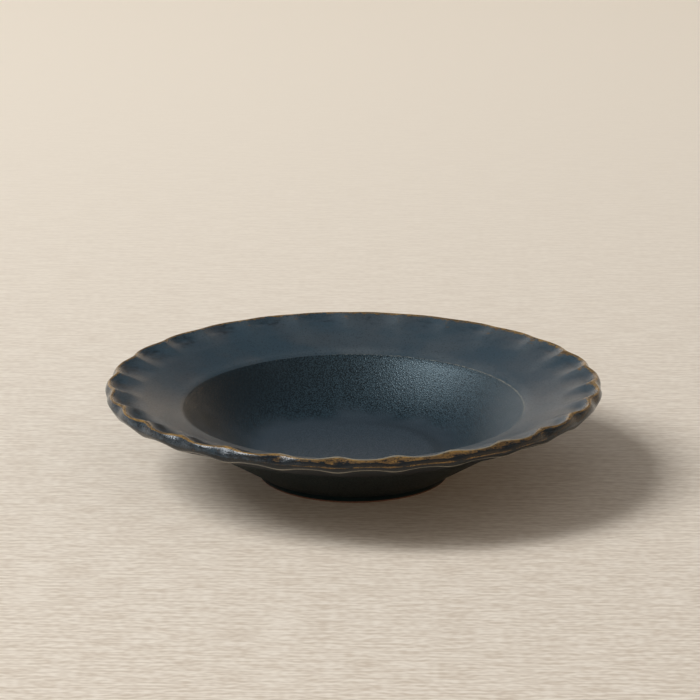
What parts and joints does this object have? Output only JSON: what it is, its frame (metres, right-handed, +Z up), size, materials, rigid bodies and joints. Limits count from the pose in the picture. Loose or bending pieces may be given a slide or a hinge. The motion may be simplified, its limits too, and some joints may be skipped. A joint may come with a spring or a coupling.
{
  "type": "pasta bowl",
  "caption": "Wide stoneware pasta bowl with a deep round well, a broad flange and a fluted flower lip, on a turned foot ring, under dark blue glaze that breaks ochre at the edges.",
  "frame": {"origin": "on the table plane, on the axis of the bowl, in the middle of the foot ring", "axes": "+Z up along the axis of the bowl; +X passes through one ridge of the fluted rim"},
  "size_m": [0.2486, 0.2488, 0.0495],
  "materials": {
    "clay_body": "matte",
    "bare_clay": "matte",
    "inner_glaze": "satin",
    "rim_glaze": "satin",
    "outer_glaze": "satin"
  },
  "bodies": {
    "root": {"well": "clay_body", "fluted_rim": "clay_body", "foot_ring": "bare_clay", "well_glaze": "inner_glaze", "rim_glaze": "rim_glaze", "wall_glaze": "outer_glaze", "base_glaze": "outer_glaze"}
  },
  "joints": []
}
